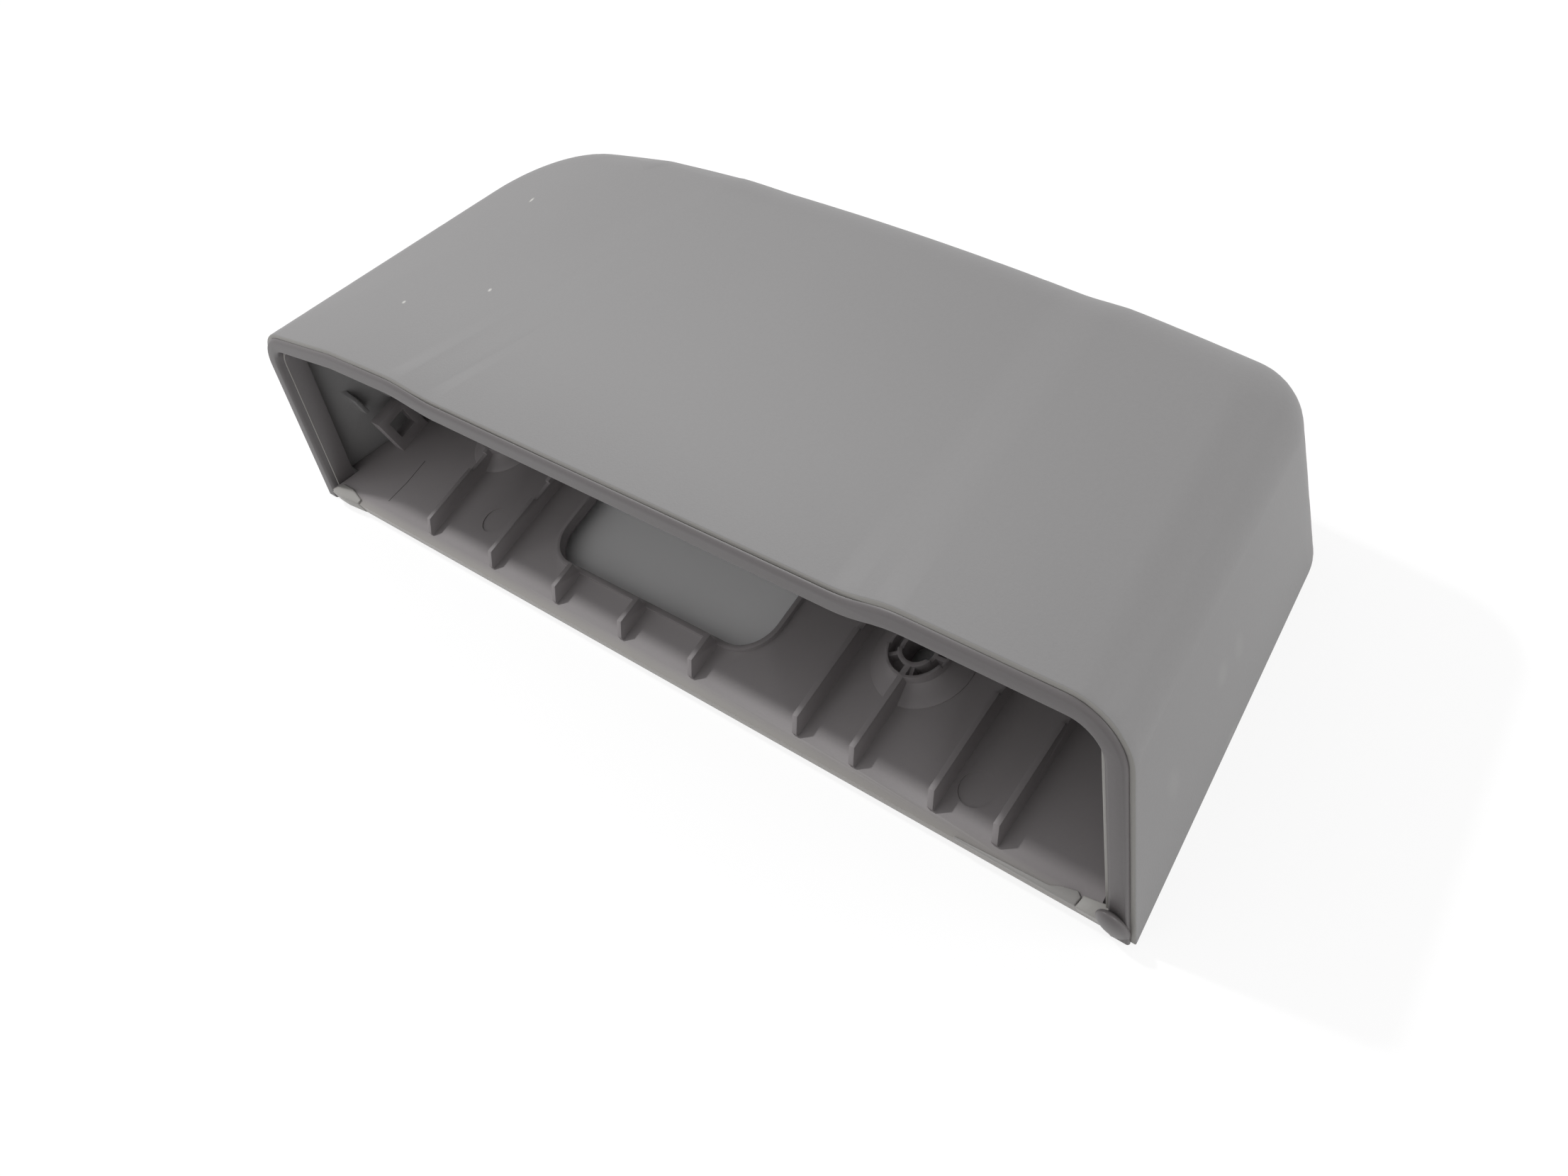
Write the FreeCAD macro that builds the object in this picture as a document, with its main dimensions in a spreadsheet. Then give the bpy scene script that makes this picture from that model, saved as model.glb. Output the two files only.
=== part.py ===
import FreeCAD, Part
import math
import os
import Sketcher
from FreeCAD import Placement, Rotation, Vector

# Interior trim cover: a hollow hood on a ribbed base, with a rubber seal round its open mouth.
# Millimetres. X runs along the cover, the mouth faces -Y, Z is up, origin at the middle of the base.

doc = FreeCAD.newDocument("trim_cover")
sizes = doc.addObject("Spreadsheet::Sheet", "Sizes")

SIZES = {
    "cover_width": 326.4,
    "cover_depth": 124.8,
    "top_height": 63.8,
    "middle_slope": 0.0207,
    "back_fall": 4.6,
    "left_step_height": 3.0,
    "right_step_height": 2.8,
    "back_step_share": 0.3,
    "left_end_slope": 0.08,
    "right_end_slope": 0.03,
    "mouth_lean": 0.34,
    "wall": 2.5,
    "right_flare": 3.7,
    "right_tuck": 1.2,
    "left_slope": 0.45,
    "right_slope": 0.1,
    "back_left_y": 64.6,
    "back_right_y": 41.6,
    "left_corner_radius": 45.0,
    "right_corner_radius": 16.0,
    "back_radius": 1300.0,
    "shoulder_radius": 13.0,
    "crease_radius": 40.0,
    "left_step_front": -94.8,
    "left_step_back": 6.0,
    "right_step": 103.4,
    "left_step_width": 18.0,
    "right_step_width": 12.0,
    "left_bend": 34.0,
    "fit_gap": 0.4,
    "seal_gap": 0.1,
    "rim_shown": 1.2,
    "seal_bulb_edge": 5.9,
    "seal_lip_edge": 6.4,
    "seal_edge": 7.2,
    "seal_proud": 1.2,
    "seal_lip_back": 1.0,
    "seal_recess": 2.2,
    "seal_depth": 7.0,
    "plate_top": 5.0,
    "plate_thickness": 2.0,
    "plate_rim": 1.8,
    "rib_height": 5.0,
    "rib_thickness": 1.6,
    "rib_setback": 3.0,
    "rib_nose": 3.0,
    "rib_nose_step": 1.0,
    "rib_reach": 62.0,
    "short_rib_reach": 14.0,
    "window_left": -45.0,
    "window_right": 43.5,
    "window_front": 15.5,
    "window_length": 50.0,
    "window_radius": 10.5,
    "window_wall": 1.5,
    "window_rim": 1.2,
    "left_boss_x": -95.5,
    "left_boss_y": 44.0,
    "right_boss_x": 85.5,
    "right_boss_y": 35.0,
    "boss_hole": 8.2,
    "boss_tube": 10.6,
    "boss_ring": 17.0,
    "boss_ring_wall": 0.8,
    "boss_height": 5.0,
    "boss_web": 1.0,
    "boss_webs": 5,
    "boss_groove": 3.5,
    "dome_radius": 14.0,
    "dome_height": 2.5,
    "dome_edge": 0.2,
    "gusset_low": 21.0,
    "gusset_high": 46.0,
    "gusset_front": 26.0,
    "gusset_gap": 9.0,
    "gusset_width": 5.0,
    "gusset_nose": 6.0,
    "ejector_radius": 4.55,
    "ejector_depth": 0.25,
    "right_mark_x": 116.3,
    "right_mark_y": 12.2,
    "left_mark_x": -74.8,
    "left_mark_y": 16.7,
    "seal_room": 5.6,
    "notch_depth": 10.6,
    "snap_left_y": 24.0,
    "snap_right_y": 30.0,
    "snap_clear": 1.5,
    "snap_thickness": 5.0,
    "snap_width": 13.0,
    "snap_height": 14.0,
    "snap_frame": 3.0,
    "snap_sill": 4.0,
}
RIB_X = {
    "rib_1_x": -95.0, "rib_2_x": -61.0, "rib_3_x": -29.0, "rib_4_x": 0.8, "rib_5_x": 29.6,
    "rib_6_x": 67.6, "rib_7_x": 86.0, "rib_8_x": 109.6, "rib_9_x": 127.2,
}
SIZES.update(RIB_X)
for row, (alias, value) in enumerate(SIZES.items(), start=1):
    sizes.set("A%d" % row, alias)
    sizes.set("B%d" % row, str(value))
    sizes.setAlias("B%d" % row, alias)
doc.recompute()

# Working distances that only carry cutters and blanks past the finished faces
FRONT_RUN = 20.0
FRONT_SECTION = 30.0
BACK_SECTION = 10.0
SKY = 60.0
HEADROOM = 15.0
AHEAD = 90.0
BELOW = 20.0
ABOVE = 120.0
PAST_WALL = 5.0
# How far features on the plate are sunk into it, so that they join
ROOT = 0.5


def S(text):
    """Turn sheet names written as @name into the expression that reads them."""
    return text.replace("@", "Sizes.")


def plane(body, role):
    for feature in body.Origin.OriginFeatures:
        if feature.Role == role:
            return feature
    raise ValueError(role)


def new_sketch(body, name, role, offset=None):
    sketch = body.newObject("Sketcher::SketchObject", name)
    sketch.AttachmentSupport = [(plane(body, role), "")]
    sketch.MapMode = "FlatFace"
    if offset is not None:
        sketch.setExpression("AttachmentOffset.Base.z", S(offset))
    return sketch


def place(sketch, geometry, end, across, up, near=(1.0, 1.0)):
    """Fix one point of a sketch by its two distances from the sketch's origin."""
    for kind, text, start in (("DistanceX", across, near[0]), ("DistanceY", up, near[1])):
        index = sketch.addConstraint(Sketcher.Constraint(kind, -1, 1, geometry, end, start))
        sketch.setExpression("Constraints[%d]" % index, S(text))


def polygon(sketch, corners):
    """Draw a closed outline whose corners are pairs of expressions."""
    first = sketch.GeometryCount
    count = len(corners)
    turn = [2 * math.pi * i / count for i in range(count)]
    spots = [Vector(10 * math.cos(a), 10 * math.sin(a), 0) for a in turn]
    for i in range(count):
        sketch.addGeometry(Part.LineSegment(spots[i], spots[(i + 1) % count]))
    for i in range(count):
        following = first + (i + 1) % count
        sketch.addConstraint(Sketcher.Constraint("Coincident", first + i, 2, following, 1))
    for i, (across, up) in enumerate(corners):
        place(sketch, first + i, 1, across, up)


def circle(sketch, across, up, radius):
    index = sketch.addGeometry(Part.Circle(Vector(0, 0, 0), Vector(0, 0, 1), 5.0))
    place(sketch, index, 3, across, up)
    bound = sketch.addConstraint(Sketcher.Constraint("Radius", index, 5.0))
    sketch.setExpression("Constraints[%d]" % bound, S(radius))


def rounded_rectangle(sketch, left, right, near, far, radius, start):
    """Draw a rectangle with equal round corners; start holds rough numbers to draw it from."""
    x0, x1, y0, y1, r = start
    first = sketch.GeometryCount
    # Each straight's two ends, as expressions and as the rough numbers
    inset = "(%s)" % radius
    low_x, high_x = "%s + %s" % (left, inset), "%s - %s" % (right, inset)
    low_y, high_y = "%s + %s" % (near, inset), "%s - %s" % (far, inset)
    straights = [((low_x, near), (high_x, near), (x0 + r, y0), (x1 - r, y0)),
                 ((right, low_y), (right, high_y), (x1, y0 + r), (x1, y1 - r)),
                 ((high_x, far), (low_x, far), (x1 - r, y1), (x0 + r, y1)),
                 ((left, high_y), (left, low_y), (x0, y1 - r), (x0, y0 + r))]
    for _, _, a, b in straights:
        sketch.addGeometry(Part.LineSegment(Vector(a[0], a[1], 0), Vector(b[0], b[1], 0)))
    centres = [(x1 - r, y0 + r), (x1 - r, y1 - r), (x0 + r, y1 - r), (x0 + r, y0 + r)]
    for i, (cx, cy) in enumerate(centres):
        whole = Part.Circle(Vector(cx, cy, 0), Vector(0, 0, 1), r)
        turn = (i - 1) * math.pi / 2
        sketch.addGeometry(Part.ArcOfCircle(whole, turn, turn + math.pi / 2))
    for i, (from_text, to_text, a, b) in enumerate(straights):
        place(sketch, first + i, 1, from_text[0], from_text[1], a)
        place(sketch, first + i, 2, to_text[0], to_text[1], b)
    for i in range(4):
        arc = first + 4 + i
        sketch.addConstraint(Sketcher.Constraint("Coincident", first + i, 2, arc, 1))
        sketch.addConstraint(Sketcher.Constraint("Coincident", arc, 2, first + (i + 1) % 4, 1))
        bound = sketch.addConstraint(Sketcher.Constraint("Radius", arc, r))
        sketch.setExpression("Constraints[%d]" % bound, S(radius))


def pad(body, sketch, length, both_ways=False):
    feature = body.newObject("PartDesign::Pad", sketch.Name + "_pad")
    feature.Profile = sketch
    feature.Refine = True
    feature.setExpression("Length", S(length))
    if both_ways:
        feature.SideType = "Symmetric"
    return feature


def fillet(body, base, radius, chosen):
    """Round the edges of a finished feature that the test picks out."""
    doc.recompute()
    names = ["Edge%d" % (i + 1) for i, edge in enumerate(base.Shape.Edges) if chosen(edge)]
    feature = body.newObject("PartDesign::Fillet", base.Name + "_round")
    feature.Base = (base, names)
    feature.Refine = True
    feature.setExpression("Radius", S(radius))
    return feature


def sky_profile(body, name, inset, y_offset, left_step, fall, share):
    """Everything above the top face in one cross section: two gentle S bends bound a sunken middle."""
    sketch = new_sketch(body, name, "XZ_Plane", y_offset)
    left_foot = "%s - @left_step_width / 2" % left_step
    right_foot = "@right_step + @right_step_width / 2"
    sunk_width = "(@right_step - @right_step_width / 2 - (%s) - @left_step_width / 2)" % left_step
    low = "@top_height - %s - %s" % (inset, fall)
    level = "%s + @middle_slope * %s" % (low, sunk_width)
    left_level = "%s + @left_step_height * %s" % (level, share)
    right_level = "%s + @right_step_height * %s" % (low, share)
    sky = "@top_height + %s" % SKY
    polygon(sketch, [
        ("-@cover_width", "%s - @left_end_slope * (@cover_width + %s - @left_bend)" % (left_level, left_foot)),
        ("%s - @left_bend" % left_foot, left_level),
        (left_foot, left_level),
        ("%s + @left_step_width / 2" % left_step, level),
        ("@right_step - @right_step_width / 2", low),
        (right_foot, right_level),
        ("@cover_width", "%s - @right_end_slope * (@cover_width - (%s))" % (right_level, right_foot)),
        ("@cover_width", sky),
        ("-@cover_width", sky),
    ])
    return sketch


def ground_outline(sketch, inset, front, front_run):
    """The cover seen from above, set in by a distance: slanting ends and a back that bows outward."""
    left = "-@cover_width / 2 + %s" % inset
    right = "@cover_width / 2 - @right_tuck - %s" % inset
    corners = [
        ("%s - @left_slope * %s" % (left, front_run), front),
        ("%s + @right_slope * %s" % (right, front_run), front),
        ("%s - @right_slope * (@back_right_y + @cover_depth / 2)" % right, "@back_right_y - %s" % inset),
        ("%s + @left_slope * (@back_left_y + @cover_depth / 2)" % left, "@back_left_y - %s" % inset),
    ]
    # Rough places of the four corners, to draw from before the sheet's sizes take over
    half, depth, bow = SIZES["cover_width"] / 2, SIZES["cover_depth"] / 2, SIZES["back_radius"]
    near = [Vector(-half, -depth, 0), Vector(half, -depth, 0),
            Vector(half - SIZES["right_slope"] * (SIZES["back_right_y"] + depth), SIZES["back_right_y"], 0),
            Vector(-half + SIZES["left_slope"] * (SIZES["back_left_y"] + depth), SIZES["back_left_y"], 0)]
    chord = near[3] - near[2]
    drop = math.sqrt(bow ** 2 - (chord.Length / 2) ** 2)
    centre = (near[2] + near[3]) / 2 + Vector(-chord.y, chord.x, 0).normalize() * drop
    turns = [math.atan2(p.y - centre.y, p.x - centre.x) for p in near[2:]]
    sketch.addGeometry(Part.LineSegment(near[0], near[1]))
    sketch.addGeometry(Part.LineSegment(near[1], near[2]))
    sketch.addGeometry(Part.ArcOfCircle(Part.Circle(centre, Vector(0, 0, 1), bow), *turns))
    sketch.addGeometry(Part.LineSegment(near[3], near[0]))
    for i, (across, up) in enumerate(corners):
        sketch.addConstraint(Sketcher.Constraint("Coincident", i, 2, (i + 1) % 4, 1))
    for i, (across, up) in enumerate(corners):
        place(sketch, i, 1, across, up, (near[i].x, near[i].y))
    bound = sketch.addConstraint(Sketcher.Constraint("Radius", 2, bow))
    sketch.setExpression("Constraints[%d]" % bound, S("@back_radius - %s" % inset))


def round_back(body, base, inset, lowest):
    """Round the two upright back corners: a wide one on the left, a tight one on the right."""
    def upright(edge):
        ends = [v.Point for v in edge.Vertexes]
        return len(ends) == 2 and abs(ends[0].z - ends[1].z) > lowest and min(p.y for p in ends) > 20

    wide = fillet(body, base, "@left_corner_radius - %s" % inset,
                  lambda e: upright(e) and e.Vertexes[0].X < 0)
    return fillet(body, wide, "@right_corner_radius - %s" % inset,
                  lambda e: upright(e) and e.Vertexes[0].X > 0)


def is_right_wall(face):
    return face.Surface.TypeId == "Part::GeomPlane" and face.normalAt(0, 0).x > 0.9


def block(name, inset):
    """The cover's outer form set in by a distance, with its mouth run on past the front."""
    body = doc.addObject("PartDesign::Body", name)
    outline = new_sketch(body, name + "_outline", "XY_Plane")
    ground_outline(outline, inset, "-@cover_depth / 2 - %s" % FRONT_RUN, FRONT_RUN)
    walls = pad(body, outline, "@top_height + %s" % HEADROOM)
    doc.recompute()
    flare = body.newObject("PartDesign::Draft", name + "_flare")
    faces = enumerate(walls.Shape.Faces, start=1)
    flare.Base = (walls, ["Face%d" % i for i, face in faces if is_right_wall(face)])
    flare.NeutralPlane = (plane(body, "XY_Plane"), [""])
    flare.Reversed = True
    flare.setExpression("Angle", S("@right_flare"))
    round_back(body, flare, inset, SIZES["top_height"] / 2)
    front_y = "@cover_depth / 2 + %s" % FRONT_SECTION
    back_y = "-@cover_depth / 2 - %s" % BACK_SECTION
    fronts = sky_profile(body, name + "_sky_front", inset, front_y, "@left_step_front", "0", "1")
    backs = sky_profile(body, name + "_sky_back", inset, back_y, "@left_step_back", "@back_fall",
                        "@back_step_share")
    sky = body.newObject("PartDesign::SubtractiveLoft", name + "_top")
    sky.Profile = fronts
    sky.Sections = [backs]
    sky.Ruled = True
    creases = fillet(body, sky, "@crease_radius", is_crease)
    fillet(body, creases, "@shoulder_radius - %s" % inset, is_shoulder)
    doc.recompute()
    return body


def upper_middle(edge):
    """The middle of an edge that lies wholly near the top, or nothing."""
    ends = [v.Point for v in edge.Vertexes]
    if len(ends) != 2 or min(p.z for p in ends) < SIZES["top_height"] / 2:
        return None
    return edge.valueAt((edge.FirstParameter + edge.LastParameter) / 2)


def runs_back(edge):
    ends = [v.Point for v in edge.Vertexes]
    return abs(ends[0].y - ends[1].y) > SIZES["cover_depth"] / 2


def is_crease(edge):
    middle = upper_middle(edge)
    return middle is not None and runs_back(edge) and abs(middle.x) < SIZES["cover_width"] * 0.37


def is_shoulder(edge):
    middle = upper_middle(edge)
    if middle is None:
        return False
    if max(v.Y for v in edge.Vertexes) < -SIZES["cover_depth"] / 2 - FRONT_RUN + 3:
        return False
    inside = abs(middle.x) < SIZES["cover_width"] * 0.37
    return not inside or (middle.y > 20 and not runs_back(edge))


def space_ahead(name, shift):
    """All the space in front of the leaning mouth plane, moved back by a distance."""
    body = doc.addObject("PartDesign::Body", name)
    sketch = new_sketch(body, name + "_side", "YZ_Plane")
    foot = "-@cover_depth / 2 + %s" % shift
    polygon(sketch, [
        ("%s - @mouth_lean * %s" % (foot, BELOW), "-%s" % BELOW),
        ("%s + @mouth_lean * %s" % (foot, ABOVE), "%s" % ABOVE),
        ("-@cover_depth / 2 - %s" % AHEAD, "%s" % ABOVE),
        ("-@cover_depth / 2 - %s" % AHEAD, "-%s" % BELOW),
    ])
    pad(body, sketch, "@cover_width * 2", both_ways=True)
    doc.recompute()
    return body


def boolean(kind, name, *pieces):
    """Join, cut or intersect finished solids under one name."""
    if kind == "MultiFuse":
        result = doc.addObject("Part::MultiFuse", name)
        result.Shapes = list(pieces)
    else:
        result = doc.addObject("Part::" + kind, name)
        result.Base, result.Tool = pieces
    doc.recompute()
    return result


def gusset(name, side, along):
    """A thin rib that stiffens an end wall just behind the seal."""
    body = doc.addObject("PartDesign::Body", name)
    sketch = new_sketch(body, name + "_face", "XZ_Plane", "@cover_depth / 2 - (%s)" % along)
    wall_x = "%s * (@cover_width / 2 + %s)" % (side, PAST_WALL)
    inner = "%s * (%s - @wall - (%s) * %s - @gusset_width)" % (side, HALF[side], along, SLOPES[side])
    polygon(sketch, [
        (wall_x, "@gusset_low"),
        (inner, "@gusset_low"),
        (inner, "@gusset_low + @gusset_nose"),
        (wall_x, "@gusset_high"),
    ])
    pad(body, sketch, "@rib_thickness", both_ways=True)
    doc.recompute()
    return body


# Per end, left then right: the slant of the end wall and how far out it meets the floor at the front
SLOPES = {-1: "@left_slope", 1: "@right_slope"}
HALF = {-1: "@cover_width / 2", 1: "(@cover_width / 2 - @right_tuck)"}

# Hood: the outer form less the same form set in by the wall, open at the mouth and below
outer = block("outer_form", "0")
core = block("core_form", "@wall")
mouth = space_ahead("mouth_space", "0")
shell = boolean("Cut", "shell_form", outer, core)
ribs = [gusset("gusset_%d_%d" % (side + 2, i), side, along)
        for side in (-1, 1) for i, along in enumerate(("@gusset_front", "@gusset_front + @gusset_gap"))]
inner_limit = block("gusset_limit", "@wall / 2")
stiffeners = boolean("MultiFuse", "stiffeners", *ribs)
trimmed = boolean("Common", "trimmed_stiffeners", stiffeners, inner_limit)
whole = boolean("MultiFuse", "whole_shell", shell, trimmed)
hood = boolean("Cut", "hood_cover", whole, mouth)

# Seal: nested bands that wrap the mouth rim, with a bulb standing proud and a thin lip inside it
rim_edge = block("seal_rim_edge", "@rim_shown")
clip_edge = block("seal_clip_edge", "(@wall + @seal_gap)")
bulb_edge = block("seal_bulb_edge", "@seal_bulb_edge")
lip_outer = block("seal_lip_outer", "@seal_lip_edge")
lip_inner = block("seal_lip_inner", "@seal_edge")
before = space_ahead("before_space", "-@seal_proud")
against = space_ahead("against_space", "-@seal_gap")
lip_front = space_ahead("lip_space", "@seal_lip_back")
recess = space_ahead("recess_space", "@seal_recess")
behind = space_ahead("behind_space", "@seal_depth")


def band(name, wide, narrow, near, far):
    """The part of a ring between two nested forms that lies between two leaning planes."""
    ring = boolean("Cut", name + "_ring", wide, narrow)
    slab = boolean("Cut", name + "_slab", far, near)
    return boolean("Common", name, ring, slab)


seal_bands = boolean("MultiFuse", "seal_bands",
                     band("seal_cap", rim_edge, bulb_edge, before, against),
                     band("seal_bulb", clip_edge, bulb_edge, before, behind),
                     band("seal_base", clip_edge, lip_inner, recess, behind),
                     band("seal_lip", lip_outer, lip_inner, lip_front, behind))
seal = doc.addObject("Part::Refine", "glass_seal")
seal.Source = seal_bands
doc.recompute()

# Base plate: a floor pan whose rim turns down, with ribs, bosses, a window and snap loops on top
plate = doc.addObject("PartDesign::Body", "base_plate")
plate_inset = "(@wall + @fit_gap)"


def plate_outline(name, inset):
    sketch = new_sketch(plate, name, "XY_Plane")
    ground_outline(sketch, inset, "-@cover_depth / 2 + %s - @wall - @fit_gap" % inset, "0")
    return sketch


slab = pad(plate, plate_outline("plate_outline", plate_inset), "@plate_top")
slab_round = round_back(plate, slab, plate_inset, SIZES["plate_top"] / 2)
under = plate.newObject("PartDesign::Pocket", "plate_underside")
under.Refine = True
under.Profile = plate_outline("underside_outline", "(@wall + @fit_gap + @plate_rim)")
under.Reversed = True
under.setExpression("Length", S("@plate_top - @plate_thickness"))
doc.recompute()


def upright_box(name, left, right, front, back, low, height):
    """A block on the plate, drawn from above and raised from a level."""
    sketch = new_sketch(plate, name, "XY_Plane", low)
    polygon(sketch, [(left, front), (right, front), (right, back), (left, back)])
    return pad(plate, sketch, height)


def rib(name, across, front, reach, height):
    """A thin upright rib with a sloped nose, running back from the front."""
    sketch = new_sketch(plate, name, "YZ_Plane", across)
    polygon(sketch, [
        (front, "@plate_top - %s" % ROOT),
        (front, "@plate_top + @rib_nose_step"),
        ("%s + @rib_nose" % front, "@plate_top + %s" % height),
        ("%s + %s" % (front, reach), "@plate_top + %s" % height),
        ("%s + %s" % (front, reach), "@plate_top - %s" % ROOT),
    ])
    pad(plate, sketch, "@rib_thickness", both_ways=True)


def boss(name, across, along):
    """A screw boss on a low dome: an inner tube and a thin outer ring with a groove between."""
    sketch = new_sketch(plate, name, "XZ_Plane", "-(%s)" % along)
    sketch.setExpression("AttachmentOffset.Base.x", S(across))
    top = "@plate_top + @boss_height"
    polygon(sketch, [
        ("@boss_hole / 2", "@plate_top - %s" % ROOT),
        ("@dome_radius", "@plate_top - %s" % ROOT),
        ("@dome_radius", "@plate_top + @dome_edge"),
        ("@boss_ring / 2", "@plate_top + @dome_height"),
        ("@boss_ring / 2", top),
        ("@boss_ring / 2 - @boss_ring_wall", top),
        ("@boss_ring / 2 - @boss_ring_wall", "%s - @boss_groove" % top),
        ("@boss_tube / 2", "%s - @boss_groove" % top),
        ("@boss_tube / 2", top),
        ("@boss_hole / 2", top),
    ])
    turned = plate.newObject("PartDesign::Revolution", name + "_turned")
    turned.Profile = sketch
    turned.ReferenceAxis = (sketch, ["V_Axis"])
    turned.Angle = 360
    doc.recompute()
    web = new_sketch(plate, name + "_web", "XY_Plane", "%s - @boss_groove - 0.3" % top)
    web.setExpression("AttachmentOffset.Base.x", S(across))
    web.setExpression("AttachmentOffset.Base.y", S(along))
    inner = "@boss_tube / 2 - 0.4"
    outer_edge = "@boss_ring / 2 - @boss_ring_wall / 2"
    half = "@boss_web / 2"
    polygon(web, [(inner, "-" + half), (outer_edge, "-" + half), (outer_edge, half), (inner, half)])
    single = pad(plate, web, "@boss_groove - 0.4")
    doc.recompute()
    webs = plate.newObject("PartDesign::PolarPattern", name + "_webs")
    webs.Originals = [single]
    webs.Axis = (web, ["N_Axis"])
    webs.Angle = 360
    webs.setExpression("Occurrences", S("@boss_webs"))
    plate.Tip = webs
    doc.recompute()


FRONT = "-@cover_depth / 2"


def window_outline(name, grow, level):
    sketch = new_sketch(plate, name, "XY_Plane", level)
    near = FRONT + " + @window_front - %s" % grow
    far = FRONT + " + @window_front + @window_length + %s" % grow
    y_near = -SIZES["cover_depth"] / 2 + SIZES["window_front"]
    start = (SIZES["window_left"], SIZES["window_right"], y_near, y_near + SIZES["window_length"],
             SIZES["window_radius"])
    rounded_rectangle(sketch, "@window_left - %s" % grow, "@window_right + %s" % grow, near, far,
                      "@window_radius + %s" % grow, start)
    return sketch


window_rim = pad(plate, window_outline("window_rim", "@window_wall", "@plate_top - %s" % ROOT), "@window_rim + %s" % ROOT)
window = plate.newObject("PartDesign::Pocket", "window")
window.Refine = True
window.Profile = window_outline("window_outline", "0", "@plate_top + @window_rim + 2")
window.Type = "ThroughAll"
doc.recompute()

for number in (1, 2, 6, 7, 8, 9):
    rib("rib_%d" % number, "@rib_%d_x" % number, FRONT + " + @rib_setback", "@rib_reach", "@rib_height")
for number in (3, 4, 5):
    rib("rib_%d" % number, "@rib_%d_x" % number, FRONT + " + @rib_setback",
        "@window_front - @rib_setback - @window_wall + 0.3", "@rib_height")
boss("left_boss", "@left_boss_x", FRONT + " + @left_boss_y")
boss("right_boss", "@right_boss_x", FRONT + " + @right_boss_y")


for number, across, along in ((1, "@left_boss_x", FRONT + " + @left_boss_y"),
                              (2, "@right_boss_x", FRONT + " + @right_boss_y")):
    drill = new_sketch(plate, "bore_%d" % number, "XY_Plane", "@plate_top + @boss_height + 3")
    circle(drill, across, along, "@boss_hole / 2")
    bore = plate.newObject("PartDesign::Pocket", "bore_%d_cut" % number)
    bore.Refine = True
    bore.Profile = drill
    bore.Type = "ThroughAll"
    doc.recompute()

marks = new_sketch(plate, "ejector_marks", "XY_Plane", "@plate_top")
circle(marks, "@right_mark_x", FRONT + " + @right_mark_y", "@ejector_radius")
circle(marks, "@left_mark_x", FRONT + " + @left_mark_y", "@ejector_radius")
ejector = plate.newObject("PartDesign::Pocket", "ejector_marks_cut")
ejector.Refine = True
ejector.Profile = marks
ejector.setExpression("Length", S("@ejector_depth"))
doc.recompute()

# The seal's lower ends stand on the floor in notches at both front corners of the plate
for side, slope in ((-1, "@left_slope"), (1, "@right_slope")):
    notch = new_sketch(plate, "notch_%d" % (side + 2), "XY_Plane", "@plate_top + 30")
    out = "%s * (@cover_width / 2 + %s)" % (side, PAST_WALL)
    near = "%s * (%s - @wall - @seal_room + %s * %s)" % (side, HALF[side], slope, PAST_WALL)
    far = "%s * (%s - @wall - @seal_room - %s * @notch_depth)" % (side, HALF[side], slope)
    ahead = "%s - %s" % (FRONT, PAST_WALL)
    polygon(notch, [(out, ahead), (near, ahead), (far, FRONT + " + @notch_depth"),
                    (out, FRONT + " + @notch_depth")])
    cut = plate.newObject("PartDesign::Pocket", "notch_%d_cut" % (side + 2))
    cut.Refine = True
    cut.Profile = notch
    cut.Type = "ThroughAll"
    doc.recompute()

# Snap loops stand on the plate beside the end walls
for side, along in ((-1, FRONT + " + @snap_left_y"), (1, FRONT + " + @snap_right_y")):
    name = "snap_%d" % (side + 2)
    inward = "(%s) - (%s)" % (along, FRONT)
    outer_x = "%s * (%s - @wall - @snap_clear - %s * (%s + @snap_width))" % (
        side, HALF[side], SLOPES[side], inward)
    inner_x = "%s - %s * @snap_thickness" % (outer_x, side)
    upright_box(name, outer_x, inner_x, along, "%s + @snap_width" % along, "@plate_top - %s" % ROOT, "@snap_height + %s" % ROOT)
    slot = new_sketch(plate, name + "_slot", "YZ_Plane")
    polygon(slot, [
        ("%s + @snap_frame" % along, "@plate_top + @snap_sill"),
        ("%s + @snap_width - @snap_frame" % along, "@plate_top + @snap_sill"),
        ("%s + @snap_width - @snap_frame" % along, "@plate_top + @snap_height - @snap_frame"),
        ("%s + @snap_frame" % along, "@plate_top + @snap_height - @snap_frame"),
    ])
    opening = plate.newObject("PartDesign::Pocket", name + "_opening")
    opening.Refine = True
    opening.Profile = slot
    opening.Type = "ThroughAll"
    opening.Reversed = side > 0
    doc.recompute()

NODES = {"hood_cover": hood, "base_plate": plate, "glass_seal": seal}
for item in doc.Objects:
    if "Invalid" in item.State or "Error" in item.State:
        raise RuntimeError("%s failed to build" % item.Name)
os.makedirs("parts", exist_ok=True)
for name, item in NODES.items():
    item.Label = name
    shape = item.Shape
    if shape.isNull() or not shape.isValid():
        raise RuntimeError("%s has no sound shape" % name)
    shape.exportStep("parts/%s.step" % name)
    box = shape.optimalBoundingBox()
    print(name, len(shape.Solids), round(shape.Volume), [round(v, 2) for v in (
        box.XMin, box.YMin, box.ZMin, box.XMax, box.YMax, box.ZMax)])
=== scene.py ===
# %% [markdown]
# # A moulded trim cover on a pale floor
# The object is a hollow grey plastic hood on a ribbed base plate, with a rubber seal round its
# open mouth. The measured solids come from the CAD model. This lesson gives each one its finish,
# adds the fine shapes that a moulding has, and sets up the floor, the light and the camera.

# %% Load the measured model
import math

import bmesh
import bpy
from mathutils import Matrix, Vector


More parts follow.
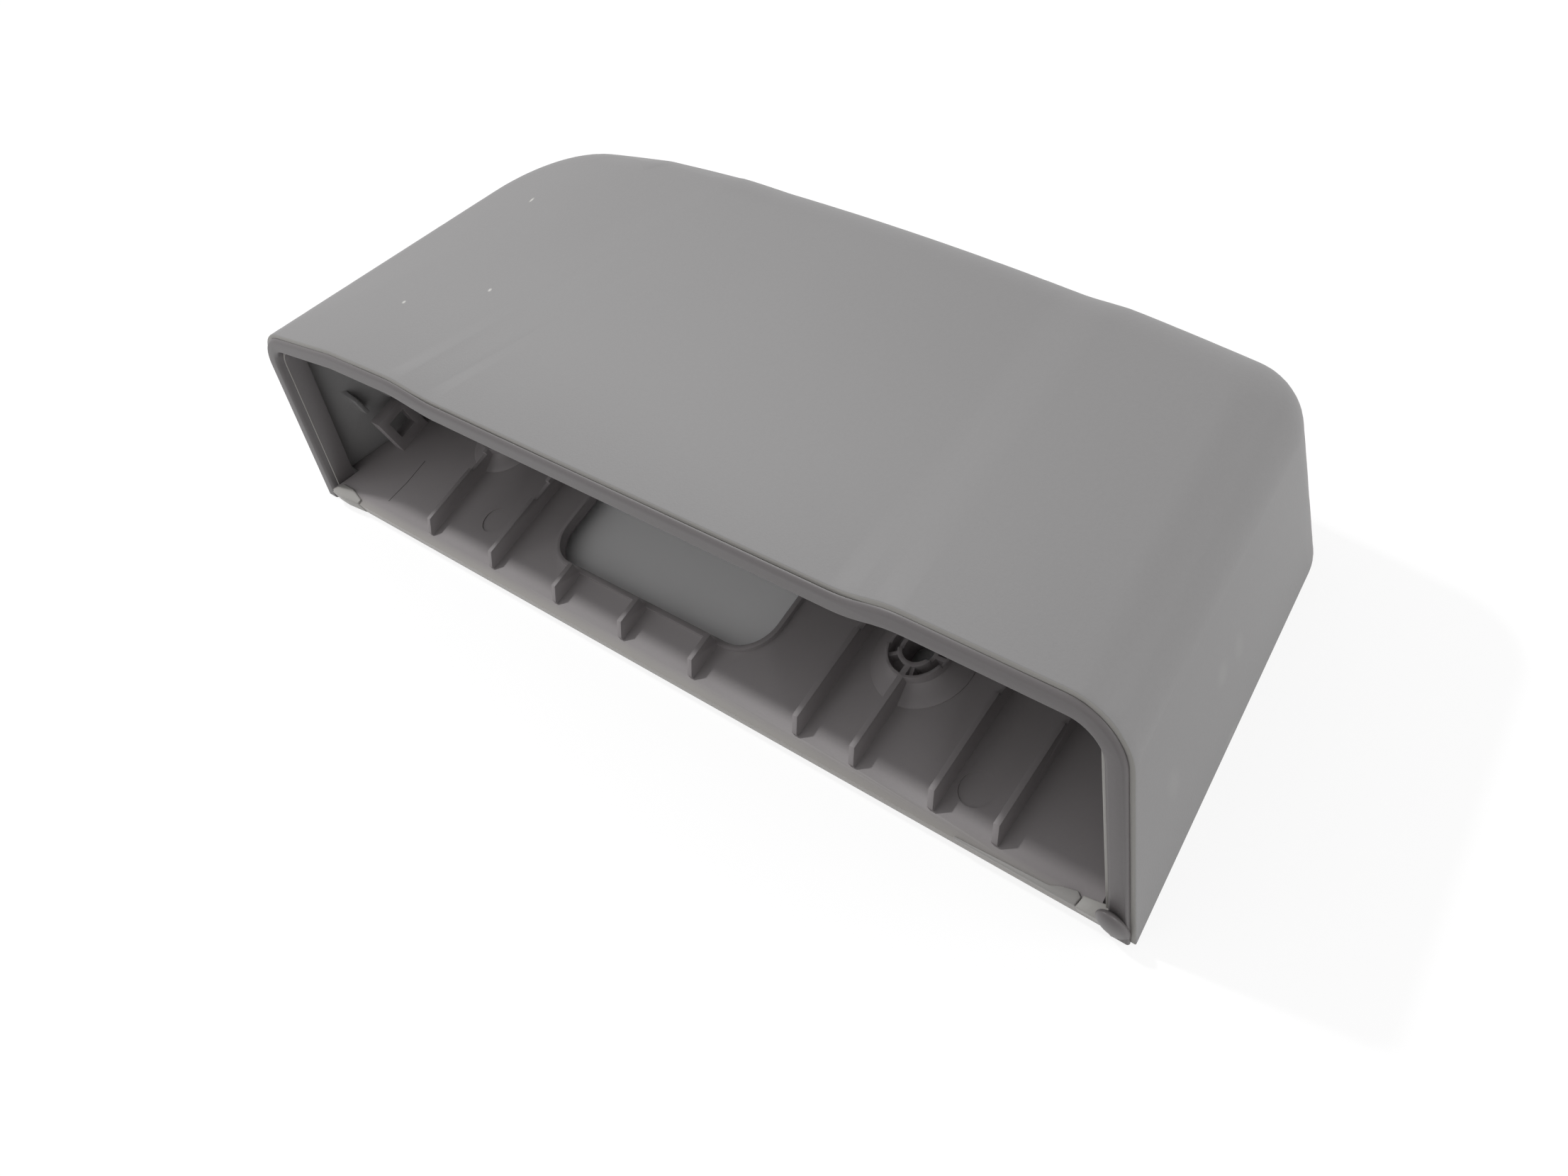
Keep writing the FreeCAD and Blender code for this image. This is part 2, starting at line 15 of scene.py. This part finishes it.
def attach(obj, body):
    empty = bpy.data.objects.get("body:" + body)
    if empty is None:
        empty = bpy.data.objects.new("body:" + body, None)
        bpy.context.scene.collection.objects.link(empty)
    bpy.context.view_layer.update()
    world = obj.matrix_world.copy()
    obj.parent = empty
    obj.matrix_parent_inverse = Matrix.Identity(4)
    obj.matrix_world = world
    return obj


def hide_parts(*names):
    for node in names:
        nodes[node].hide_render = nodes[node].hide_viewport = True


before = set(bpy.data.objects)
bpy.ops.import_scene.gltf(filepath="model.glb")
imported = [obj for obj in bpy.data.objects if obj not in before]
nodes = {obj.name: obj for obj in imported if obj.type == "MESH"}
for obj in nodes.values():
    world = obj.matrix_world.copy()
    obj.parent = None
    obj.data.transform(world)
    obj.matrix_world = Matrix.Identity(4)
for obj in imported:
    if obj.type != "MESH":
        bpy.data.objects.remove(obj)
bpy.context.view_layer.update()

# %% Two small helpers
MM = 0.001


def only(piece):
    """Deselect everything, then make one piece the selected and active object."""
    bpy.ops.object.select_all(action="DESELECT")
    piece.select_set(True)
    bpy.context.view_layer.objects.active = piece


def new_material(name):
    """An empty material with its Principled shader, its output and a coordinate source."""
    material = bpy.data.materials.new(name)
    material.use_nodes = True
    tree = material.node_tree
    shader = tree.nodes["Principled BSDF"]
    place = tree.nodes.new("ShaderNodeTexCoord")
    return material, tree, shader, place


# %% [markdown]
# ## The camera
# The photograph looks down into the mouth from the right, with the camera rolled. Its place came
# from matching the front edge, the ribs and the round marks, so it is written as a position, a
# heading, a downward pitch and a roll. The focal length is the one that makes the round marks round.

# %% Set the camera
CAMERA_PLACE = Vector((248.5, -111.3, 258.8)) * MM
HEADING = math.radians(68.1)
PITCH = math.radians(48.07)
ROLL = math.radians(-37.04)
FOCAL_PIXELS = 1820.0
PHOTO_WIDTH = 2212
SENSOR = 36.0


def camera_axes():
    side = Vector((math.cos(HEADING), math.sin(HEADING), 0))
    level = math.cos(PITCH)
    ahead = Vector((-math.sin(HEADING) * level, math.cos(HEADING) * level, -math.sin(PITCH)))
    up = side.cross(ahead)
    right = math.cos(ROLL) * side + math.sin(ROLL) * up
    top = -math.sin(ROLL) * side + math.cos(ROLL) * up
    return right, top, -ahead


right_axis, top_axis, back_axis = camera_axes()
turn = Matrix((right_axis, top_axis, back_axis)).transposed().to_4x4()
camera_data = bpy.data.cameras.new("camera")
camera_data.sensor_width = SENSOR
camera_data.lens = FOCAL_PIXELS * SENSOR / PHOTO_WIDTH
camera_data.clip_start = 0.01
camera = bpy.data.objects.new("camera", camera_data)
camera.matrix_world = Matrix.Translation(CAMERA_PLACE) @ turn
bpy.context.collection.objects.link(camera)
bpy.context.scene.camera = camera
print("Camera lens", round(camera_data.lens, 2), "mm")

# %% [markdown]
# ## Shared surface effects
# Moulded plastic has a fine leather-like grain, broad faint clouds of tone, and after use a few
# specks and rubbed places; the mark group also paints a highlight strip. Each effect is a node group,
# so that every material can place it with its own values.


# %% Grain group
def grain_group():
    group = bpy.data.node_groups.new("moulded_grain", "ShaderNodeTree")
    group.interface.new_socket("Vector", in_out="INPUT", socket_type="NodeSocketVector")
    scale = group.interface.new_socket("Scale", in_out="INPUT", socket_type="NodeSocketFloat")
    scale.default_value = 2600.0
    group.interface.new_socket("Height", in_out="OUTPUT", socket_type="NodeSocketFloat")
    source = group.nodes.new("NodeGroupInput")
    target = group.nodes.new("NodeGroupOutput")
    cells = group.nodes.new("ShaderNodeTexVoronoi")
    cells.feature = "SMOOTH_F1"
    rough = group.nodes.new("ShaderNodeTexNoise")
    rough.inputs["Detail"].default_value = 3.0
    blend = group.nodes.new("ShaderNodeMix")
    blend.inputs["Factor"].default_value = 0.45
    for noise in (cells, rough):
        group.links.new(source.outputs["Vector"], noise.inputs["Vector"])
        group.links.new(source.outputs["Scale"], noise.inputs["Scale"])
    group.links.new(cells.outputs["Distance"], blend.inputs["A"])
    group.links.new(rough.outputs["Fac"], blend.inputs["B"])
    group.links.new(blend.outputs["Result"], target.inputs["Height"])
    return group


# %% Colour variation group
def tone_group():
    group = bpy.data.node_groups.new("soft_tone", "ShaderNodeTree")
    group.interface.new_socket("Vector", in_out="INPUT", socket_type="NodeSocketVector")
    group.interface.new_socket("Dark", in_out="INPUT", socket_type="NodeSocketColor")
    group.interface.new_socket("Light", in_out="INPUT", socket_type="NodeSocketColor")
    group.interface.new_socket("Color", in_out="OUTPUT", socket_type="NodeSocketColor")
    source = group.nodes.new("NodeGroupInput")
    target = group.nodes.new("NodeGroupOutput")
    clouds = group.nodes.new("ShaderNodeTexNoise")
    clouds.inputs["Scale"].default_value = 14.0
    clouds.inputs["Detail"].default_value = 4.0
    pores = group.nodes.new("ShaderNodeTexNoise")
    pores.inputs["Scale"].default_value = 1100.0
    pores.inputs["Detail"].default_value = 2.0
    share = group.nodes.new("ShaderNodeMix")
    share.inputs["Factor"].default_value = 0.45
    mix = group.nodes.new("ShaderNodeMix")
    mix.data_type = "RGBA"
    for noise in (clouds, pores):
        group.links.new(source.outputs["Vector"], noise.inputs["Vector"])
    group.links.new(clouds.outputs["Fac"], share.inputs["A"])
    group.links.new(pores.outputs["Fac"], share.inputs["B"])
    group.links.new(share.outputs["Result"], mix.inputs["Factor"])
    group.links.new(source.outputs["Dark"], mix.inputs["A"])
    group.links.new(source.outputs["Light"], mix.inputs["B"])
    group.links.new(mix.outputs["Result"], target.inputs["Color"])
    return group


# %% Mark group, also used for a painted highlight
def mark_group():
    """A soft streak round a point: Size stretches it, and the result is its strength."""
    group = bpy.data.node_groups.new("single_mark_and_highlight", "ShaderNodeTree")
    group.interface.new_socket("Vector", in_out="INPUT", socket_type="NodeSocketVector")
    group.interface.new_socket("Centre", in_out="INPUT", socket_type="NodeSocketVector")
    group.interface.new_socket("Size", in_out="INPUT", socket_type="NodeSocketVector")
    group.interface.new_socket("Amount", in_out="INPUT", socket_type="NodeSocketFloat")
    group.interface.new_socket("So far", in_out="INPUT", socket_type="NodeSocketFloat")
    group.interface.new_socket("Strength", in_out="OUTPUT", socket_type="NodeSocketFloat")
    source = group.nodes.new("NodeGroupInput")
    target = group.nodes.new("NodeGroupOutput")
    away = group.nodes.new("ShaderNodeVectorMath")
    away.operation = "SUBTRACT"
    scaled = group.nodes.new("ShaderNodeVectorMath")
    scaled.operation = "DIVIDE"
    length = group.nodes.new("ShaderNodeVectorMath")
    length.operation = "LENGTH"
    fade = group.nodes.new("ShaderNodeMapRange")
    fade.inputs["From Min"].default_value = 1.0
    fade.inputs["From Max"].default_value = 0.3
    most = group.nodes.new("ShaderNodeMath")
    most.operation = "MAXIMUM"
    group.links.new(source.outputs["Vector"], away.inputs[0])
    group.links.new(source.outputs["Centre"], away.inputs[1])
    group.links.new(away.outputs["Vector"], scaled.inputs[0])
    group.links.new(source.outputs["Size"], scaled.inputs[1])
    group.links.new(scaled.outputs["Vector"], length.inputs[0])
    group.links.new(length.outputs["Value"], fade.inputs["Value"])
    group.links.new(source.outputs["Amount"], fade.inputs["To Max"])
    group.links.new(fade.outputs["Result"], most.inputs[0])
    group.links.new(source.outputs["So far"], most.inputs[1])
    group.links.new(most.outputs["Value"], target.inputs["Strength"])
    return group


GRAIN = grain_group()
TONE = tone_group()
MARK = mark_group()


# %% Plastic material
def plastic(name, dark, light, roughness, grain_scale, grain_depth, marks_and_highlights=(), mark_and_highlight_color=(0.6, 0.59, 0.57)):
    material, tree, shader, place = new_material(name)
    tone = tree.nodes.new("ShaderNodeGroup")
    tone.node_tree = TONE
    tone.inputs["Dark"].default_value = (*dark, 1)
    tone.inputs["Light"].default_value = (*light, 1)
    grain = tree.nodes.new("ShaderNodeGroup")
    grain.node_tree = GRAIN
    grain.inputs["Scale"].default_value = grain_scale
    bump = tree.nodes.new("ShaderNodeBump")
    bump.inputs["Distance"].default_value = grain_depth
    bump.inputs["Strength"].default_value = 0.6
    tree.links.new(place.outputs["Object"], tone.inputs["Vector"])
    tree.links.new(place.outputs["Object"], grain.inputs["Vector"])
    tree.links.new(grain.outputs["Height"], bump.inputs["Height"])
    tree.links.new(bump.outputs["Normal"], shader.inputs["Normal"])
    shader.inputs["Roughness"].default_value = roughness
    color = tone.outputs["Color"]
    strength = None
    # Each entry is a real mark or the painted highlight strip
    for centre, size, mark_and_highlight_amount in marks_and_highlights:
        mark = tree.nodes.new("ShaderNodeGroup")
        mark.node_tree = MARK
        mark.inputs["Centre"].default_value = Vector(centre) * MM
        mark.inputs["Size"].default_value = Vector(size) * MM
        mark.inputs["Amount"].default_value = mark_and_highlight_amount
        tree.links.new(place.outputs["Object"], mark.inputs["Vector"])
        if strength:
            tree.links.new(strength, mark.inputs["So far"])
        strength = mark.outputs["Strength"]
    if strength:
        over = tree.nodes.new("ShaderNodeMix")
        over.data_type = "RGBA"
        over.inputs["B"].default_value = (*mark_and_highlight_color, 1)
        tree.links.new(strength, over.inputs["Factor"])
        tree.links.new(color, over.inputs["A"])
        color = over.outputs["Result"]
    tree.links.new(color, shader.inputs["Base Color"])
    return material


# %% [markdown]
# ## The finishes
# The marks are the pale specks on the hood's top and the dull rubs on its right end; the brighter
# strip along the plate's front edge is a painted highlight. Each one is a centre, a size in millimetres and
# an amount.

# %% Make the finishes
HOOD_MARKS = [((-94.3, -15.1, 66.2), (1.0, 0.8, 2.0), 1.0), ((-64.6, -2.3, 65.8), (0.8, 0.8, 2.0), 1.0),
              ((-86.2, 33.8, 61.8), (0.7, 1.3, 2.0), 1.0), ((158.8, -12.3, 27.5), (4.0, 3.0, 5.0), 0.07),
              ((157.9, -4.6, 25.5), (4.0, 2.5, 6.0), 0.06), ((161.1, -36.4, 25.5), (4.0, 3.0, 7.0), 0.06),
              ((157.2, -14.1, 2.0), (4.0, 4.0, 2.0), 0.1)]
# Painted highlight: a lighter band on the plate's front face, where light catches it
FRONT_EDGE_PAINTED_HIGHLIGHT = [((0, -63.2, 4.0), (500.0, 4.0, 9.0), 1.0)]
HOOD = plastic("grained_hood", (0.247, 0.243, 0.243), (0.276, 0.272, 0.272), 0.6, 2200.0, 0.00006,
               HOOD_MARKS)
# The rim finish is a lighter copy of the hood plastic: a painted highlight on the mouth's front rim faces
RIM = plastic("rim_painted_highlight", (0.30, 0.292, 0.275), (0.335, 0.325, 0.305), 0.5, 2200.0, 0.00004)
BASE = plastic("plain_base", (0.268, 0.248, 0.251), (0.296, 0.276, 0.279), 0.5, 1500.0, 0.00003,
               FRONT_EDGE_PAINTED_HIGHLIGHT, (0.38, 0.362, 0.34))
EDGE = plastic("ridge_edge", (0.31, 0.30, 0.29), (0.345, 0.335, 0.32), 0.5, 1500.0, 0.00003)
PALE = plastic("pale_edge", (0.36, 0.35, 0.33), (0.40, 0.39, 0.37), 0.5, 1500.0, 0.00003)
RUBBER = plastic("seal_rubber", (0.122, 0.112, 0.113), (0.15, 0.14, 0.141), 0.45, 3000.0, 0.00002)
LIP = plastic("seal_lip", (0.33, 0.32, 0.30), (0.37, 0.36, 0.34), 0.4, 3000.0, 0.00002)
# Near-black painted shade, laid in the seal's groove behind its lip
SHADE = plastic("near_black_painted_shade", (0.03, 0.028, 0.029), (0.045, 0.042, 0.043), 0.8, 3000.0, 0.00002)

# %% [markdown]
# ## Smooth copies of the measured parts
# Each measured part is copied, its joined facets are merged, its sharp edges get a small round,
# and it is shaded smooth. The copy then stands in for the part, whose own mesh stays as it is.


# %% Limits for merging, flattening and smoothing
MERGE_GAP = 0.005 * MM
FLAT_ANGLE = math.radians(0.05)
SHARP_ANGLE = math.radians(35)
SMOOTH_ANGLE = math.radians(40)


# %% Copy a part and ease its edges
def eased_copy(node_name, finishes, rounds):
    """Round the sharp edges of a copy; each round is an offset, a step count and a choice of edges."""
    source = nodes[node_name]
    copy = bpy.data.objects.new(node_name + "_looks", source.data.copy())
    bpy.context.collection.objects.link(copy)
    only(copy)
    copy.data.materials.clear()
    for finish, _ in finishes:
        copy.data.materials.append(finish)
    bpy.ops.object.mode_set(mode="EDIT")
    bpy.ops.mesh.select_all(action="SELECT")
    bpy.ops.mesh.remove_doubles(threshold=MERGE_GAP)
    bpy.ops.mesh.customdata_custom_splitnormals_clear()
    bpy.ops.mesh.dissolve_limited(angle_limit=FLAT_ANGLE)
    bpy.ops.mesh.select_mode(type="EDGE")
    for offset, steps, wanted in rounds:
        bpy.ops.mesh.select_all(action="DESELECT")
        bpy.ops.mesh.edges_select_sharp(sharpness=SHARP_ANGLE)
        edit = bmesh.from_edit_mesh(copy.data)
        for edge in edit.edges:
            if edge.select and not wanted((edge.verts[0].co + edge.verts[1].co) / 2 / MM):
                edge.select = False
        bmesh.update_edit_mesh(copy.data)
        bpy.ops.mesh.bevel(offset=offset * MM, segments=steps, affect="EDGES", clamp_overlap=True)
    bpy.ops.object.mode_set(mode="OBJECT")
    for face in copy.data.polygons:
        for index, (_, chosen) in enumerate(finishes):
            if chosen(face.center / MM, face.normal):
                face.material_index = index
    bpy.ops.object.shade_smooth_by_angle(angle=SMOOTH_ANGLE)
    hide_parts(node_name)
    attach(copy, "root")
    print(copy.name, len(copy.data.polygons), "faces")


# %% Where a point lies behind the mouth's slanted front
MOUTH_LEAN = 0.34
FRONT_LINE = -62.4
FACING = Vector((0, -1, MOUTH_LEAN)).normalized()
MARK_SPOTS = (Vector((116.3, -50.2, 5)), Vector((-74.8, -45.7, 5)))
MARK_REACH = 6


def behind_front(point):
    return point.y - FRONT_LINE - MOUTH_LEAN * point.z


def every(*_):
    return True


# The hood faces on the mouth's front rim get the painted highlight finish
eased_copy("hood_cover",
           [(HOOD, every), (RIM, lambda p, n: n.dot(FACING) > 0.8 and behind_front(p) < 1)],
           [(0.3, 2, every)])
eased_copy("base_plate", [(BASE, every)],
           [(0.25, 2, lambda p: all((p - spot).length > MARK_REACH for spot in MARK_SPOTS))])
# The seal faces behind its lip take the near-black painted shade of its groove
eased_copy("glass_seal",
           [(RUBBER, every),
            (LIP, lambda p, n: n.dot(FACING) > 0.8 and 0.6 < behind_front(p) < 1.4),
            (SHADE, lambda p, n: n.dot(FACING) > 0.8 and behind_front(p) > 1.8)],
           [(1.2, 5, lambda p: behind_front(p) < -1.0), (0.2, 2, lambda p: behind_front(p) > -0.9)])

# %% [markdown]
# ## Small pieces at the plate's front corners
# A pale tab closes the left end of the plate's front edge, and a low pale pad the right end. Past
# the pad the seal ends in a soft rounded foot beside a small plastic foot. A hair-thin near-black
# line crosses the plate's left end. Each flat piece is an outline that is raised between two heights.


# %% Raise an outline into a flat piece
def flat_piece(name, outline, low, high, finish, ease):
    bpy.ops.object.select_all(action="DESELECT")
    bpy.ops.mesh.primitive_circle_add(vertices=len(outline), radius=0.01, fill_type="NGON")
    piece = bpy.context.object
    piece.name = name
    for vertex, (x, y) in zip(piece.data.vertices, outline):
        vertex.co = Vector((x, y, low)) * MM
    only(piece)
    bpy.ops.object.mode_set(mode="EDIT")
    bpy.ops.mesh.select_all(action="SELECT")
    bpy.ops.mesh.extrude_region_move(TRANSFORM_OT_translate={"value": (0, 0, (high - low) * MM)})
    bpy.ops.mesh.select_all(action="SELECT")
    bpy.ops.mesh.normals_make_consistent(inside=False)
    if ease:
        bpy.ops.mesh.bevel(offset=ease * MM, segments=3, affect="EDGES", clamp_overlap=True)
    bpy.ops.object.mode_set(mode="OBJECT")
    bpy.ops.object.shade_smooth_by_angle(angle=SMOOTH_ANGLE)
    piece.data.materials.append(finish)
    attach(piece, "root")


# %% Corner pieces and the thin dark line
TAB = [(-153.2, -60.9), (-153.6, -63.2), (-147.0, -63.4), (-137.0, -62.7), (-137.0, -60.8),
       (-145.0, -58.8), (-151.3, -58.8)]
RIDGE = [(118.0, -62.0), (118.0, -62.5), (149.0, -62.5), (149.4, -60.3), (148.2, -59.4), (144.9, -60.1),
         (142.2, -61.2)]
PAD = [(149.1, -62.6), (155.3, -62.6), (155.7, -58.8), (149.5, -59.6)]
FOOT = [(153.9, -61.6), (156.8, -63.4), (160.8, -61.9), (159.0, -59.5)]
LINE = [(-125.2, -56.6), (-124.98, -56.6), (-123.8, -47.7), (-123.88, -38.3), (-124.1, -38.3),
        (-124.02, -47.7)]
flat_piece("left_tab", TAB, 0.4, 5.7, PALE, 0.5)
flat_piece("right_ridge", RIDGE, 4.0, 5.6, EDGE, 0.25)
flat_piece("right_pad", PAD, 2.5, 5.3, PALE, 0.3)
flat_piece("right_foot", FOOT, 0.0, 1.6, BASE, 0.4)
flat_piece("thin_dark_line", LINE, 4.96, 5.03, SHADE, 0)

# %% The seal's rounded foot
FOOT_MIDDLE = (157.5, -61.85, 4.4)
FOOT_RADII = (3.7, 1.7, 6.6)
bpy.ops.object.select_all(action="DESELECT")
bpy.ops.mesh.primitive_uv_sphere_add(segments=48, ring_count=24, radius=1)
seal_foot = bpy.context.object
seal_foot.name = "seal_foot"
for vertex in seal_foot.data.vertices:
    vertex.co = Vector([(m + r * c) * MM for m, r, c in zip(FOOT_MIDDLE, FOOT_RADII, vertex.co)])
only(seal_foot)
bpy.ops.object.mode_set(mode="EDIT")
bpy.ops.mesh.select_all(action="SELECT")
bpy.ops.mesh.bisect(plane_co=(0, 0, 0.1 * MM), plane_no=(0, 0, 1), use_fill=True, clear_inner=True)
bpy.ops.object.mode_set(mode="OBJECT")
bpy.ops.object.shade_smooth_by_angle(angle=SMOOTH_ANGLE)
print("Seal foot", len(seal_foot.data.polygons), "faces")
seal_foot.data.materials.append(RUBBER)
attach(seal_foot, "root")

# %% [markdown]
# ## Floor, world and lamps
# The background is white because the camera sees a white floor and world, not because more light
# falls on the object. Under the cover the floor keeps its true shade, so what shows through the
# window stays dark. The world is dimmer on the camera's side,
# as in a room where someone stands in front of the light.

# %% Floor
FLOOR_SIZE = 6.0
bpy.ops.object.select_all(action="DESELECT")
bpy.ops.mesh.primitive_plane_add(size=FLOOR_SIZE, location=(0, 0, 0))
floor = bpy.context.object
floor.name = "floor"
floor_material, tree, shader, place = new_material("pale_floor")
shader.inputs["Base Color"].default_value = (0.88, 0.88, 0.88, 1)
shader.inputs["Roughness"].default_value = 0.9
path = tree.nodes.new("ShaderNodeLightPath")
seen = tree.nodes.new("ShaderNodeMath")
seen.operation = "MAXIMUM"
seen_through = tree.nodes.new("ShaderNodeMath")
seen_through.operation = "MAXIMUM"
tree.links.new(path.outputs["Is Camera Ray"], seen.inputs[0])
tree.links.new(path.outputs["Is Glossy Ray"], seen.inputs[1])
tree.links.new(seen.outputs["Value"], seen_through.inputs[0])
tree.links.new(path.outputs["Is Transmission Ray"], seen_through.inputs[1])
# Under the cover the floor isn't lifted to white
UNDER_MIDDLE = (12.5, -24.0)
UNDER_REACH = (137.5, 34.0)
spot = tree.nodes.new("ShaderNodeVectorMath")
spot.operation = "SUBTRACT"
spot.inputs[1].default_value = (UNDER_MIDDLE[0] * MM, UNDER_MIDDLE[1] * MM, 0)
share = tree.nodes.new("ShaderNodeVectorMath")
share.operation = "DIVIDE"
share.inputs[1].default_value = (UNDER_REACH[0] * MM, UNDER_REACH[1] * MM, 1)
size = tree.nodes.new("ShaderNodeVectorMath")
size.operation = "ABSOLUTE"
parts = tree.nodes.new("ShaderNodeSeparateXYZ")
wider = tree.nodes.new("ShaderNodeMath")
wider.operation = "MAXIMUM"
outside = tree.nodes.new("ShaderNodeMath")
outside.operation = "GREATER_THAN"
outside.inputs[1].default_value = 1.0
lift = tree.nodes.new("ShaderNodeMath")
lift.operation = "MULTIPLY"
amount = tree.nodes.new("ShaderNodeMath")
amount.operation = "MULTIPLY"
amount.inputs[1].default_value = 0.763
glow = tree.nodes.new("ShaderNodeEmission")
glow.inputs["Strength"].default_value = 1.1
blend = tree.nodes.new("ShaderNodeMixShader")
tree.links.new(place.outputs["Object"], spot.inputs[0])
tree.links.new(spot.outputs["Vector"], share.inputs[0])
tree.links.new(share.outputs["Vector"], size.inputs[0])
tree.links.new(size.outputs["Vector"], parts.inputs["Vector"])
tree.links.new(parts.outputs["X"], wider.inputs[0])
tree.links.new(parts.outputs["Y"], wider.inputs[1])
tree.links.new(wider.outputs["Value"], outside.inputs[0])
tree.links.new(outside.outputs["Value"], lift.inputs[0])
tree.links.new(seen_through.outputs["Value"], lift.inputs[1])
tree.links.new(lift.outputs["Value"], amount.inputs[0])
tree.links.new(amount.outputs["Value"], blend.inputs["Fac"])
tree.links.new(shader.outputs["BSDF"], blend.inputs[1])
tree.links.new(glow.outputs["Emission"], blend.inputs[2])
tree.links.new(blend.outputs["Shader"], tree.nodes["Material Output"].inputs["Surface"])
floor.data.materials.append(floor_material)

# %% World
world = bpy.data.worlds.new("studio")
bpy.context.scene.world = world
world.use_nodes = True
sky_tree = world.node_tree
sky = sky_tree.nodes["Background"]
sky.inputs["Color"].default_value = (1.0, 0.995, 1.0, 1)
toward = sky_tree.nodes.new("ShaderNodeTexCoord")
lens_side = sky_tree.nodes.new("ShaderNodeVectorMath")
lens_side.operation = "DOT_PRODUCT"
lens_side.inputs[1].default_value = CAMERA_PLACE.normalized()
dim = sky_tree.nodes.new("ShaderNodeMapRange")
dim.interpolation_type = "SMOOTHSTEP"
dim.inputs["From Min"].default_value = 0.45
dim.inputs["From Max"].default_value = 0.9
dim.inputs["To Min"].default_value = 0.62
dim.inputs["To Max"].default_value = 0.25
sky_tree.links.new(toward.outputs["Generated"], lens_side.inputs[0])
sky_tree.links.new(lens_side.outputs["Value"], dim.inputs["Value"])
# The camera, reflections and see-through rays meet a white world
rays = sky_tree.nodes.new("ShaderNodeLightPath")
strength = dim.outputs["Result"]
for ray in ("Is Camera Ray", "Is Glossy Ray", "Is Transmission Ray"):
    larger = sky_tree.nodes.new("ShaderNodeMath")
    larger.operation = "MAXIMUM"
    sky_tree.links.new(strength, larger.inputs[0])
    sky_tree.links.new(rays.outputs[ray], larger.inputs[1])
    strength = larger.outputs["Value"]
sky_tree.links.new(strength, sky.inputs["Strength"])

# %% Lamps
LAMPS = [("key", (-0.62, 0.16, 0.95), (0, -0.03, 0.03), 0.06, 5.3),
         ("right_window", (1.1, 0.35, 0.5), (0.1, 0, 0.03), 0.6, 4.6)]
for lamp_name, spot_place, target, size, power in LAMPS:
    lamp_data = bpy.data.lights.new(lamp_name, "AREA")
    lamp_data.energy = power
    lamp_data.size = size
    lamp = bpy.data.objects.new(lamp_name, lamp_data)
    lamp.location = spot_place
    lamp.rotation_euler = (Vector(target) - lamp.location).to_track_quat("-Z", "Y").to_euler()
    bpy.context.collection.objects.link(lamp)
bpy.context.scene.view_settings.view_transform = "Standard"
